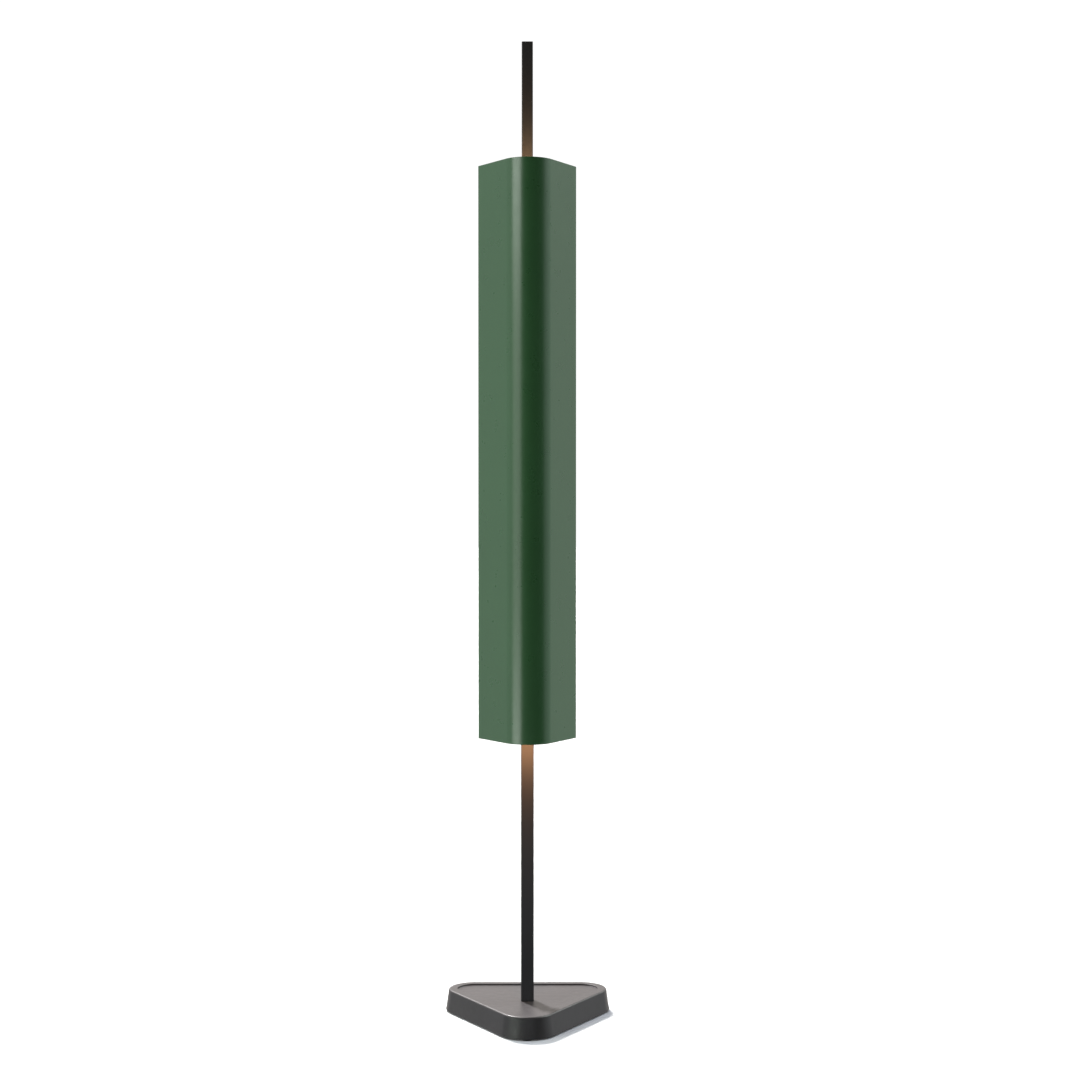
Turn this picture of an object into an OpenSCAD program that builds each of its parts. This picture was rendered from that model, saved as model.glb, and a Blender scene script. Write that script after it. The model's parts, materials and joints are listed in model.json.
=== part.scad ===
// Height-adjustable floor lamp with a swivelling open-backed shade.
// A cast base carries a telescopic stem. The upper stem carries a tall LED module,
// and an extruded V-shaped shade turns around it and throws the light back on the room.
// Millimetres. +Z is up, the stem's axis is the Z axis, the floor is z = 0 and the front is -Y.

/* [Overall] */
// Height from the floor to the top of the stem, fully raised
lamp_h = 1750; // [1700:10:1850]

/* [Base] */
// Height of the base from the floor
base_h = 40.3; // [38:0.1:50]
// Distance between the two rear corner centres
corner_span = 192; // [180:1:220]
// Distance from the rear corner centres forward to the front one
corner_reach = 160; // [150:1:190]
// Radius of the corners at the top edge
corner_r = 48.2; // [47:0.1:56]
// How far the wall stands out further at its foot
draft = 5.3; // [4:0.1:8]
// Width of the raised rim around the top
rim_w = 16; // [10:1:20]
// Depth of the tray inside the rim
tray_depth = 2.8; // [1:0.1:6]
// Gap between the casting and the floor, which the pads fill
floor_gap = 2; // [1:0.5:2.5]

/* [Stem] */
// Width of the lower stem, a rectangular tube
tube_w = 23; // [23:0.5:28]
// Depth of the lower stem, front to back
tube_d = 14; // [14:0.5:16]
// Wall of the lower stem
tube_wall = 1.3; // [1:0.1:1.4]
// Width of the upper stem, which slides in the lower one
bar_w = 20; // [18:0.5:20]
// Depth of the upper stem, front to back
bar_d = 11; // [10:0.5:11]
// Wall of the upper stem
bar_wall = 1.8; // [1.2:0.1:2]
// Height of the lower stem's top
tube_top = 760; // [700:10:800]
// How far the upper stem still reaches into the lower one when fully raised
overlap = 200; // [120:10:220]

/* [Shade] */
// Height of the shade's lower edge above the floor, lamp fully raised
shade_z = 508.5; // [480:0.5:540]
// Length of the shade
shade_h = 1021.5; // [960:0.5:1060]
// Distance from the stem's axis to the shade's nose
nose_reach = 96.8; // [90:0.2:105]
// Outside radius of the rounded nose
nose_r = 46; // [40:0.5:50]
// Angle of each wing to the shade's front plane
wing_angle = 58.5; // [54:0.5:62]
// Half of the shade's width across the wing edges
half_w = 87.4; // [84:0.2:95]
// Wall thickness of the shade
shade_wall = 2; // [1.6:0.1:2.5]
// Radius of the bead along each wing edge
bead_r = 2; // [1.4:0.1:2.5]
// Angle that the shade is turned to, seen from above
shade_turn = 2; // [-30:1:30]

/* [Light] */
// Width of the LED module
module_w = 18; // [18:0.5:22]
// Depth of the LED module, front to back
module_d = 12; // [12:0.5:15]
// Distance between LED chips
chip_pitch = 14; // [7:1:28]

/* [Hidden] */
$fn = 64;
fit_gap = 0.05;       // between a part and the seat it is fixed in, and in running fits
slide_gap = 0.2;      // between sliding flat faces
seam = 0.01;          // how far a flat wall lies inside the round it runs into
tube_corner = 2;
bar_corner = 1.5;
tube_hole_w = tube_w - 2 * tube_wall;
tube_hole_d = tube_d - 2 * tube_wall;
bar_hole_w = bar_w - 2 * bar_wall;
bar_hole_d = bar_d - 2 * bar_wall;

// Base
corners = [[0, -corner_reach / 2], [corner_span / 2, corner_reach / 2], [-corner_span / 2, corner_reach / 2]];
triangle_middle = [0, corner_reach / 6];
tray_z = base_h - tray_depth;
socket_z = 24;        // the stem stands on the floor of its socket
cavity_top = 17;
cavity_r = 26;
cover_r = 31.5;
cover_z = 4;
cover_t = 1.5;
cover_gap = 0.5;
pad_r = 9;
pad_h = floor_gap + 1.5;
pad_out = corner_r - 5.7; // from a corner's centre, away from the middle
stem_screw_x = 6.8;
cord_r = 3.2;         // the hole for the mains lead
cord_z = 12;
cord_sleeve_r = 4.8;
gland_flange_r = 7;
gland_y = corner_reach / 2 + corner_r + draft - 0.9;
gland_flange_t = 2.6;
clamp_y = corner_reach / 2 + 12; // the cord clamp inside the base
sleeve_y = corner_reach / 2 + 23;
clamp_screw_x = 8;
plug_len = 40;
lead_r = 2.5;
coil_r = 4.9;

// Collar and height clamp
collar_z = tube_top - 22;
collar_h = 36;
bush_h = 11;
lip_t = 3;
knob_z = tube_top - 11;
boss_r = 7;
boss_y = 18;
pad_tip_y = bar_d / 2 + 0.1;
clamp_pad_r = 4;
clamp_pad_t = 3;
clamp_screw_r = 3;
knob_r = 12;
knob_y = 20;
knob_t = 14;
flutes = 8;

// Upper stem and the parts on it
bar_z = tube_top - overlap;
shade_top = shade_z + shade_h;
spider_inset = 24;    // from the shade's end to the spider's outer face
spider_t = 4;
hub_h = 12;
top_journal_r = 17;
low_journal_r = 19;
journal_gap = 0.05;
hub_wall = 6;
top_hub_z = shade_top - spider_inset - hub_h;
low_hub_z = shade_z + spider_inset - 2;
washer_t = 0.8;
flange_t = 4;
bracket_top = top_hub_z + hub_h + 3;
bracket_z = top_hub_z - fit_gap - washer_t - flange_t;
bracket_block_h = 26;
guide_h = 16;
guide_z = low_hub_z + hub_h + 4.5;
module_z0 = guide_z + guide_h;
module_z1 = bracket_z - bracket_block_h;
module_back = -11;
module_front = module_back - module_d;
web_t = 4.4;
module_wall = 1.8;
lug_t = 6;
module_screw_x = 5.5;
module_screw_y = module_back - web_t / 2;
low_journal_z = low_hub_z - 2;
ring_z = top_hub_z + hub_h + 0.2;
ring_t = 1.2;

// Dimmer, behind the lower guide
plate_y = tube_d / 2 + slide_gap;
plate_t = 3.4;
case_y = plate_y + plate_t;
case_d = 16;
case_w = 22;
case_h = 30;
case_z = guide_z + 4;
case_wall = 1.5;
button_z = case_z + case_h / 2;
button_r = 5;
button_travel = 1.2;
ear_w = 5.5;
ear_t = 2.5;
ear_x = case_w / 2 + ear_w;
ear_screw_x = ear_x - ear_w / 2;

// Shade
port_r = 3.8;
port_hole_r = 2.05;
nose_centre = [0, nose_r - nose_reach];
wing_len = (half_w - bead_r - (nose_r - bead_r) * sin(wing_angle)) / cos(wing_angle);
wing_reach = nose_r + (nose_reach - nose_r) * cos(wing_angle);
// Each screw port: the direction from the stem's axis and the distance to the shade's outer face
ports = [[-90, nose_reach], [wing_angle - 90, wing_reach], [-90 - wing_angle, wing_reach]];
port_sink = 0.8;

// ---- shared shapes ----

// A rectangle with rounded corners, centred
module rounded_rect(w, d, r) {
    square([w - 2 * r, d], center = true);
    square([w, d - 2 * r], center = true);
    for (sx = [-1, 1], sy = [-1, 1])
        translate([sx * (w / 2 - r), sy * (d / 2 - r)])
            circle(r);
}

// Its children's outline, from one height to another
module rise(z0, z1) {
    translate([0, 0, z0])
        linear_extrude(z1 - z0)
            children();
}

// A round post between two heights
module post(r, z0, z1) {
    translate([0, 0, z0])
        cylinder(r = r, h = z1 - z0);
}

// A round rod along +Y between two distances
module rod_y(r, y0, y1) {
    translate([0, y0, 0])
        rotate([-90, 0, 0])
            cylinder(r = r, h = y1 - y0);
}

// A block between two corners
module block(low, high) {
    translate(low)
        cube(high - low);
}

// The base's outline: a triangle with rounded corners of radius r
module corner_triangle(r) {
    polygon(corners);
    at_sides()
        translate([0, seam - r])
            square([$side, r + 8]);
    at_corners()
        circle(r);
}

// The base's drafted body: a cone at each corner and a slanting wall along each side, cut level
module drafted_body() {
    low = floor_gap - 1;
    high = base_h + 1;
    intersection() {
        union() {
            rise(low, high)
                polygon(corners);
            at_corners()
                translate([0, 0, low])
                    cylinder(r1 = wall_r(low), r2 = wall_r(high), h = high - low);
            at_sides()
                rotate([90, 0, 90])
                    linear_extrude($side)
                        polygon([[8, low], [seam - wall_r(low), low], [seam - wall_r(high), high], [8, high]]);
        }
        rise(floor_gap, base_h)
            square(2 * (corner_span + corner_reach), center = true);
    }
}

// The distance of the base's wall from the corner centres at a height
function wall_r(z) = corner_r + draft * (base_h - z) / (base_h - floor_gap);

// Children along each side of the base, with +X along it; $side is its length
module at_sides() {
    for (i = [0:2]) {
        a = corners[i];
        b = corners[(i + 1) % 3];
        $side = norm(b - a);
        translate(a)
            rotate(atan2(b[1] - a[1], b[0] - a[0]))
                children();
    }
}

// Children at each corner of the base
module at_corners() {
    for (c = corners)
        translate(c)
            children();
}

// Children at each foot pad, further out than the corner's centre
module at_pads() {
    for (c = corners) {
        away = (c - triangle_middle) / norm(c - triangle_middle);
        translate(c + pad_out * away)
            children();
    }
}

// Children at x and at -x
module pair(x) {
    for (side = [-1, 1])
        translate([side * x, 0, 0])
            children();
}

// Children in the shade's own direction
module turned() {
    rotate(shade_turn)
        children();
}

// Children at each of the shade's screw ports
module at_ports() {
    for (p = ports)
        rotate(p[0])
            translate([p[1] - shade_wall - port_r + port_sink, 0, 0])
                children();
}

// ---- base ----

module base_casting() {
    color("#4a4849")
        difference() {
            union() {
                difference() {
                    drafted_body();
                    rise(floor_gap - 1, cavity_top)
                        corner_triangle(cavity_r);
                }
                at_corners()
                    post(6, cover_z + cover_t, cavity_top + 1);
            }
            // tray, cover seat and pad seats
            rise(tray_z, base_h + 1)
                corner_triangle(corner_r - rim_w);
            rise(floor_gap - 1, cover_z + cover_t)
                corner_triangle(cover_r + cover_gap);
            at_pads()
                post(pad_r + 0.1, floor_gap - 1, pad_h);
            at_corners()
                post(2.05, cover_z, 15);
            // stem socket, its screws and the lead
            rise(socket_z, base_h)
                rounded_rect(tube_w + 4 * fit_gap, tube_d + 4 * fit_gap, tube_corner);
            pair(stem_screw_x)
                post(2.2, cavity_top - 1, socket_z + 1);
            post(3, cavity_top - 1, socket_z + 1);
            // mains lead and its clamp
            translate([0, 0, cord_z]) {
                rod_y(cord_sleeve_r + fit_gap, sleeve_y - 3, gland_y + 3);
                rod_y(gland_flange_r + 0.1, gland_y - gland_flange_t, gland_y + 3);
            }
            translate([0, clamp_y, 0])
                pair(clamp_screw_x)
                    post(1.55, cavity_top - 1, cavity_top + 6);
        }
}

module base_cover() {
    color("#2c2c2e")
        difference() {
            rise(cover_z, cover_z + cover_t)
                corner_triangle(cover_r);
            at_corners()
                post(2.2, cover_z - 1, cover_z + cover_t + 1);
        }
}

module cover_screws() {
    color("silver")
        at_corners() {
            post(3.8, cover_z - 1.6, cover_z);
            post(2, cover_z, 14);
        }
}

module foot_pads() {
    color("#1c1c1c")
        at_pads()
            post(pad_r, 0, pad_h);
}

module stem_plug() {
    color("silver")
        difference() {
            rise(socket_z, socket_z + plug_len)
                rounded_rect(tube_hole_w - 2 * fit_gap, tube_hole_d - 2 * fit_gap, 0.8);
            post(3, socket_z - 1, socket_z + plug_len + 1);
            pair(stem_screw_x)
                post(2.05, socket_z - 1, socket_z + 22);
        }
}

module stem_screws() {
    color("silver")
        pair(stem_screw_x) {
            post(3.5, cavity_top - 5, cavity_top - 1);
            post(2, cavity_top - 1, socket_z + 20);
        }
}

module stem_washers() {
    color("silver")
        pair(stem_screw_x)
            difference() {
                post(3.8, cavity_top - 1, cavity_top);
                post(2.1, cavity_top - 2, cavity_top + 1);
            }
}

module cord_gland() {
    color("#1c1c1c")
        translate([0, 0, cord_z])
            difference() {
                union() {
                    rod_y(cord_sleeve_r, sleeve_y, gland_y - 1);
                    rod_y(gland_flange_r, gland_y - gland_flange_t + fit_gap, gland_y);
                }
                rod_y(cord_r, sleeve_y - 1, gland_y + 1);
            }
}

module cord_clamp() {
    color("#1c1c1c")
        difference() {
            block([-11, clamp_y - 4, 7.6], [11, clamp_y + 4, cavity_top]);
            translate([0, 0, cord_z])
                rod_y(cord_r, clamp_y - 5, clamp_y + 5);
            translate([0, clamp_y, 0])
                pair(clamp_screw_x)
                    post(1.7, 7, cavity_top + 1);
        }
}

module cord_clamp_screws() {
    color("silver")
        translate([0, clamp_y, 0])
            pair(clamp_screw_x) {
                post(2.7, 5.8, 7.6);
                post(1.5, 7.6, cavity_top + 5);
            }
}

module terminal_block() {
    wires = 3;
    pitch = 8;
    color("ivory")
        difference() {
            block([-wires * pitch / 2, 46, 6], [wires * pitch / 2, 64, cavity_top]);
            for (i = [0:wires - 1])
                translate([(i - 1) * pitch, 0, 0]) {
                    translate([0, 0, 12])
                        rod_y(1.6, 45, 65);
                    translate([0, 50, 0])
                        post(1.4, 5, 9);
                    translate([0, 60, 0])
                        post(1.4, 5, 9);
                }
        }
}

// ---- lower stem ----

module lower_stem() {
    color("#232125")
        difference() {
            rise(socket_z, tube_top)
                rounded_rect(tube_w, tube_d, tube_corner);
            rise(socket_z - 1, tube_top + 1)
                rounded_rect(tube_hole_w, tube_hole_d, 0.8);
            translate([0, 0, knob_z])
                rod_y(clamp_pad_r + slide_gap, 0, tube_d);
        }
}

module stem_collar() {
    wall_x = tube_w / 2 + 3.5;
    front_y = -(tube_d / 2 + 2.5);
    rear_y = tube_d / 2 + 3;
    color("#232125")
        difference() {
            union() {
                rise(collar_z, collar_z + collar_h)
                    translate([0, (front_y + rear_y) / 2])
                        rounded_rect(2 * wall_x, rear_y - front_y, 3);
                translate([0, 0, knob_z])
                    rod_y(boss_r, rear_y - 1, boss_y);
            }
            rise(collar_z - 1, collar_z + collar_h - lip_t)
                rounded_rect(tube_w + 2 * fit_gap, tube_d + 2 * fit_gap, tube_corner);
            rise(collar_z, collar_z + collar_h + 1)
                rounded_rect(bar_w + 3 * slide_gap, bar_d + 3 * slide_gap, bar_corner);
            translate([0, 0, knob_z]) {
                rod_y(clamp_pad_r + slide_gap, 0, pad_tip_y + clamp_pad_t + 1.2);
                rod_y(clamp_screw_r + fit_gap, 0, boss_y + 1);
            }
            translate([0, 0, collar_z + 5])
                for (side = [0, 180])
                    rotate([0, 0, side])
                        rotate([0, 90, 0])
                            cylinder(r = 1.55, h = 20);
        }
}

module collar_screws() {
    color("silver")
        translate([0, 0, collar_z + 5])
            for (side = [0, 180])
                rotate([0, 0, side])
                    translate([tube_w / 2, 0, 0])
                        rotate([0, 90, 0])
                            cylinder(r = 1.5, h = 3.2);
}

module guide_bush() {
    color("white")
        difference() {
            rise(tube_top, tube_top + bush_h)
                rounded_rect(tube_w, tube_d, tube_corner);
            rise(tube_top - 1, tube_top + bush_h + 1)
                rounded_rect(bar_w + slide_gap, bar_d + slide_gap, bar_corner);
        }
}

module coiled_lead() {
    color("#1c1c1c") {
        post(lead_r, 10, socket_z + plug_len + 2);
        post(coil_r, socket_z + plug_len + 2, bar_z - 13);
    }
}

// ---- height clamp ----

module clamp_pad() {
    color("white")
        translate([0, 0, knob_z])
            rod_y(clamp_pad_r, pad_tip_y, pad_tip_y + clamp_pad_t);
}

module clamp_screw() {
    color("silver")
        translate([0, 0, knob_z])
            rod_y(clamp_screw_r, pad_tip_y + clamp_pad_t + fit_gap, knob_y + 8);
}

module clamp_knob() {
    color("#232125")
        translate([0, knob_y, knob_z])
            difference() {
                rod_y(knob_r, 0, knob_t);
                for (i = [0:flutes - 1])
                    rotate([0, i * 360 / flutes, 0])
                        translate([knob_r + 1.6, 0, 0])
                            rod_y(3, -1, knob_t + 1);
                rod_y(clamp_screw_r + 0.02, -1, 8.05);
            }
}

// ---- upper stem ----

module upper_stem() {
    color("#232125")
        difference() {
            rise(bar_z, lamp_h - 2)
                rounded_rect(bar_w, bar_d, bar_corner);
            rise(bar_z - 1, lamp_h)
                rounded_rect(bar_hole_w, bar_hole_d, 0.6);
        }
}

module stem_cap() {
    color("#232125") {
        rise(lamp_h - 2, lamp_h)
            rounded_rect(bar_w, bar_d, bar_corner);
        rise(lamp_h - 12, lamp_h - 2)
            rounded_rect(bar_hole_w - 2 * fit_gap, bar_hole_d - 2 * fit_gap, 0.6);
    }
}

module stem_slider() {
    color("white")
        difference() {
            union() {
                rise(bar_z - 12, bar_z)
                    rounded_rect(tube_hole_w - slide_gap, tube_hole_d - slide_gap, 0.8);
                rise(bar_z, bar_z + 12)
                    rounded_rect(bar_hole_w - 2 * fit_gap, bar_hole_d - 2 * fit_gap, 0.6);
            }
            post(lead_r + 0.3, bar_z - 13, bar_z + 13);
        }
}

module stem_lead() {
    color("#1c1c1c")
        post(lead_r, bar_z - 12.9, bracket_z - 10);
}

module top_bracket() {
    block_z = bracket_z - bracket_block_h;
    color("#232125")
        difference() {
            union() {
                rise(block_z, bracket_z)
                    rounded_rect(bar_w + 8, bar_d + 8, 3);
                block([-module_w / 2, module_front, block_z], [module_w / 2, 0, block_z + lug_t]);
                post(top_journal_r + 4, bracket_z, bracket_z + flange_t);
                post(top_journal_r, bracket_z, bracket_top);
            }
            rise(block_z - 1, bracket_top + 1)
                rounded_rect(bar_w + 2 * fit_gap, bar_d + 2 * fit_gap, bar_corner);
            translate([0, module_screw_y, 0])
                pair(module_screw_x)
                    post(1.7, block_z - 1, block_z + lug_t + 1);
            difference() {
                post(top_journal_r + 1, ring_z, ring_z + ring_t);
                post(top_journal_r - 1, ring_z - 1, ring_z + ring_t + 1);
            }
            translate([0, 0, bracket_z - 12])
                rod_y(1.55, bar_d / 2 - 1, 12);
            translate([0, 0, bracket_z - 5])
                rod_y(1.55, bar_d / 2 - 1, 12);
        }
}

module bracket_screws() {
    color("silver")
        for (down = [5, 12])
            translate([0, 0, bracket_z - down])
                rod_y(1.5, bar_d / 2, bar_d / 2 + 3.6);
}

// ---- LED module ----

module led_housing() {
    color("#d8d8d8")
        difference() {
            block([-module_w / 2, module_front, module_z0], [module_w / 2, module_back, module_z1]);
            block([module_wall - module_w / 2, module_front - 1, module_z0 - 1],
                [module_w / 2 - module_wall, module_back - web_t, module_z1 + 1]);
            translate([0, module_screw_y, 0])
                pair(module_screw_x)
                    post(1.55, module_z0 - 1, module_z1 + 1);
        }
}

module led_board() {
    half = module_w / 2 - module_wall - 0.2;
    front = module_back - web_t;
    color("#e8e8e2")
        block([-half, front - 1.6, module_z0 + 4], [half, front, module_z1 - 4]);
}

module led_chips() {
    count = floor((module_z1 - module_z0 - 30) / chip_pitch) + 1;
    front = module_back - web_t - 1.6;
    start = (module_z0 + module_z1 - (count - 1) * chip_pitch) / 2;
    color("gold")
        for (i = [0:count - 1])
            translate([0, 0, start + i * chip_pitch])
                block([-1.4, front - 0.7, -1.75], [1.4, front, 1.75]);
}

module led_diffuser() {
    half = module_w / 2 - module_wall - fit_gap;
    color("ivory")
        block([-half, module_front + 0.3, module_z0], [half, module_front + 1.9, module_z1]);
}

module module_screws() {
    head_r = 2.7;
    head_h = 2.2;
    color("silver")
        translate([0, module_screw_y, 0])
            pair(module_screw_x) {
                post(head_r, module_z1 + lug_t, module_z1 + lug_t + head_h);
                post(1.5, module_z1 - 8, module_z1 + lug_t);
                post(head_r, module_z0 - lug_t - head_h, module_z0 - lug_t);
                post(1.5, module_z0 - lug_t, module_z0 + 8);
            }
}

module bottom_guide() {
    half = tube_w / 2 + 3.7;
    color("#232125")
        difference() {
            union() {
                post(low_journal_r, low_journal_z, guide_z);
                block([-half, 1 - case_y, guide_z], [half, case_y, module_z0]);
                block([-module_w / 2, module_front, module_z0 - lug_t], [module_w / 2, 0, module_z0]);
                block([-ear_x, plate_y, guide_z], [ear_x, case_y, case_z + case_h]);
            }
            rise(low_journal_z - 1, module_z0 + 1)
                rounded_rect(tube_w + 2 * slide_gap, tube_d + 2 * slide_gap, tube_corner);
            translate([0, module_screw_y, 0])
                pair(module_screw_x)
                    post(1.7, module_z0 - lug_t - 1, module_z0 + 1);
            translate([0, 0, button_z])
                pair(ear_screw_x)
                    rod_y(1.25, plate_y - 1, case_y + 1);
        }
}

module thrust_washer() {
    color("white")
        difference() {
            post(top_journal_r + 4, bracket_z + flange_t, bracket_z + flange_t + washer_t);
            post(top_journal_r + fit_gap, bracket_z, bracket_top);
        }
}

module retaining_ring() {
    gap = 6;
    color("silver")
        difference() {
            post(top_journal_r + 2.5, ring_z + 0.1, ring_z + ring_t - 0.1);
            post(top_journal_r - 0.9, ring_z - 1, ring_z + ring_t + 1);
            block([-gap / 2, 0, ring_z - 1], [gap / 2, top_journal_r + 5, ring_z + ring_t + 1]);
        }
}

// ---- dimmer ----

module dimmer_case() {
    front_y = case_y + case_d;
    color("#232125")
        difference() {
            union() {
                block([-case_w / 2, case_y, case_z], [case_w / 2, front_y, case_z + case_h]);
                block([-ear_x, case_y, button_z - 5], [ear_x, case_y + ear_t, button_z + 5]);
            }
            block([case_wall - case_w / 2, case_y - 1, case_z + case_wall],
                [case_w / 2 - case_wall, front_y - case_wall, case_z + case_h - case_wall]);
            translate([0, 0, button_z]) {
                rod_y(button_r + 0.2, case_y, front_y + 1);
                pair(ear_screw_x)
                    rod_y(1.4, case_y - 1, case_y + ear_t + 1);
            }
        }
}

module dimmer_board() {
    edge = case_wall + 0.1;
    half = case_w / 2 - edge;
    color("#2f5d3a") {
        block([-half, case_y + 2, case_z + edge], [half, case_y + 3.6, case_z + case_h - edge]);
        block([-3, case_y, case_z + 4], [3, case_y + 2, case_z + 8]);
    }
}

module dimmer_screws() {
    color("silver")
        translate([0, 0, button_z])
            pair(ear_screw_x) {
                rod_y(1.2, plate_y, case_y + ear_t);
                rod_y(2.2, case_y + ear_t, case_y + ear_t + 1.4);
            }
}

module dimmer_button() {
    face = case_y + case_d - case_wall;
    color("#3a383c")
        translate([0, 0, button_z]) {
            rod_y(button_r + 1, face - fit_gap - 2, face - fit_gap);
            rod_y(button_r, face - fit_gap, face + case_wall + button_travel + 0.4);
        }
}

module button_spring() {
    back = case_y + case_d - case_wall - fit_gap - 2;
    color("silver")
        translate([0, 0, button_z])
            difference() {
                rod_y(4, case_y + 3.6, back);
                rod_y(3.2, case_y, back + 1);
            }
}

// ---- shade ----

// The V that the shade encloses: a round nose of radius r and straight wings of the given length
module v_outline(r, length) {
    wing_end = length * [cos(wing_angle), sin(wing_angle)];
    translate(nose_centre) {
        circle(r);
        polygon([[0, 0], wing_end, [-wing_end[0], wing_end[1]]]);
        for (side = [0, 1])
            mirror([side, 0])
                rotate(wing_angle)
                    translate([0, seam - r])
                        square([length, r]);
    }
}

// The shade's wall, with a bead along the free edge of each wing
module shade_outline() {
    difference() {
        v_outline(nose_r, wing_len);
        v_outline(nose_r - shade_wall, 2 * wing_len);
    }
    translate(nose_centre)
        for (side = [0, 1])
            mirror([side, 0])
                rotate(wing_angle)
                    translate([wing_len, bead_r - nose_r])
                        circle(bead_r);
}

module shade() {
    color("#4f6a50")
        turned() {
            rise(shade_z, shade_top)
                shade_outline();
            difference() {
                at_ports()
                    post(port_r, low_hub_z + spider_t, shade_top - spider_inset - spider_t);
                at_ports()
                    post(port_hole_r, shade_z, shade_top);
            }
        }
}

// Three arms from a hub to the screw ports, drilled for their screws
module spider(z0, z1, hub_z0, hub_z1, bore_r) {
    difference() {
        union() {
            post(bore_r + hub_wall, hub_z0, hub_z1);
            for (p = ports)
                rotate(p[0])
                    block([0, -port_r, z0], [p[1] - shade_wall - port_r + port_sink, port_r, z1]);
            at_ports()
                post(port_r - port_sink - 0.2, z0, z1);
        }
        post(bore_r, z0 - hub_h, z1 + hub_h);
        at_ports()
            post(port_hole_r, z0 - 1, z1 + 1);
    }
}

module top_spider() {
    z1 = shade_top - spider_inset;
    color("#232125")
        turned()
            spider(z1 - spider_t, z1, top_hub_z, z1, top_journal_r + journal_gap);
}

module bottom_spider() {
    z0 = low_hub_z;
    color("#232125")
        turned()
            spider(z0, z0 + spider_t, z0, z0 + hub_h, low_journal_r + journal_gap);
}

module spider_screws() {
    head_r = 2.7;
    head_h = 2.4;
    top_z = shade_top - spider_inset;
    color("silver")
        turned()
            at_ports() {
                post(head_r, top_z, top_z + head_h);
                post(2, top_z - 16, top_z);
                post(head_r, low_hub_z - head_h, low_hub_z);
                post(2, low_hub_z, low_hub_z + 16);
            }
}

base_casting();
base_cover();
cover_screws();
foot_pads();
stem_plug();
stem_screws();
stem_washers();
cord_gland();
cord_clamp();
cord_clamp_screws();
terminal_block();
lower_stem();
stem_collar();
collar_screws();
guide_bush();
coiled_lead();
clamp_pad();
clamp_screw();
clamp_knob();
upper_stem();
stem_cap();
stem_slider();
stem_lead();
top_bracket();
bracket_screws();
led_housing();
led_board();
led_chips();
led_diffuser();
module_screws();
bottom_guide();
thrust_washer();
retaining_ring();
dimmer_case();
dimmer_board();
dimmer_screws();
dimmer_button();
button_spring();
shade();
top_spider();
bottom_spider();
spider_screws();
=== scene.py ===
import json
import math

import bmesh
import bpy
from mathutils import Matrix, Vector

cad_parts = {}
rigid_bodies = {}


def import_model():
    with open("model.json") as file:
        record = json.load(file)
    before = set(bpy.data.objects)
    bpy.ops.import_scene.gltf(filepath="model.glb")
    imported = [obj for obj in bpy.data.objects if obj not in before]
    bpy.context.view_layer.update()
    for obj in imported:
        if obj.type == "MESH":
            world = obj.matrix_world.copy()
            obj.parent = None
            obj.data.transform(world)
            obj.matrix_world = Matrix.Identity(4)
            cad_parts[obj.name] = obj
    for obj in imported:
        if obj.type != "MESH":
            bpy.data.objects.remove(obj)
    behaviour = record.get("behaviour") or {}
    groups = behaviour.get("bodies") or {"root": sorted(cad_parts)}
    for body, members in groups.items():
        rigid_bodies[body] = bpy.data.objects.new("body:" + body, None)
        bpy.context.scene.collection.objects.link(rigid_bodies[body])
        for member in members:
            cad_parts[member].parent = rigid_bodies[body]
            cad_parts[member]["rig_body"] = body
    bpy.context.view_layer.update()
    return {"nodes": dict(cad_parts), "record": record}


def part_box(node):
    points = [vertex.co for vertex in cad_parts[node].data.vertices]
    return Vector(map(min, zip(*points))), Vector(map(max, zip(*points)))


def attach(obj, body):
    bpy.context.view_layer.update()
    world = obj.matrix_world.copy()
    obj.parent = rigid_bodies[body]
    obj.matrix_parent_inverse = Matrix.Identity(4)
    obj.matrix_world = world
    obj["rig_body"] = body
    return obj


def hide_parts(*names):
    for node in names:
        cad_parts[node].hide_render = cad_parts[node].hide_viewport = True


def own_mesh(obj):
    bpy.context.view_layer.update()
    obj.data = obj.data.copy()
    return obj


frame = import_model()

MM = 0.001
scene = bpy.context.scene

# ---------------------------------------------------------------- sizes, in metres

BASE_LO, BASE_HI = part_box("base_casting")
BASE_TOP = BASE_HI.z
BASE_FOOT = BASE_LO.z
CORNER_R = 48.2 * MM                         # the plan's corners at the top of the wall
DRAFT = 5.3 * MM                             # how much further out the wall's foot is
SPAN = BASE_HI.x - CORNER_R - DRAFT          # x of the rear corner centres
REACH = BASE_HI.y - CORNER_R - DRAFT         # y of the rear corner centres; the front one is at -y
RIM_W = 16 * MM                              # from the wall's top to the tray
TRAY_DEEP = 2.8 * MM
TRAY_Z = BASE_TOP - TRAY_DEEP

TURN = math.radians(2)                       # how far the shade is turned to the base
WING = math.radians(58.5)                    # how far each wing leans back from the front plane
NOSE_R = 46 * MM
NOSE_REACH = 96.8 * MM                       # from the stem's axis to the front of the nose
NOSE_Y = NOSE_R - NOSE_REACH                 # the nose's centre
HALF_W = 87.4 * MM
WALL = 2 * MM
BEAD = 2 * MM                                # radius of the bead along each wing's edge
SHADE_LO, SHADE_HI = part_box("shade")

CHIP_PITCH = 14 * MM                         # from one LED to the next along the board
ROUND_POINTS = 48                            # round a small turned piece

# ---------------------------------------------------------------- mesh tools


def finish_mesh(name, bm, smooth_angle=32.0):
    """A bmesh becomes an object with smooth faces, sharp edges where it turns and weighted normals."""
    bmesh.ops.recalc_face_normals(bm, faces=bm.faces)
    mesh = bpy.data.meshes.new(name)
    bm.to_mesh(mesh)
    bm.free()
    mesh.shade_smooth()
    mesh.set_sharp_from_angle(angle=math.radians(smooth_angle))
    obj = bpy.data.objects.new(name, mesh)
    scene.collection.objects.link(obj)
    mod = obj.modifiers.new("even_normals", "WEIGHTED_NORMAL")
    mod.keep_sharp = True
    return obj


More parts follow.
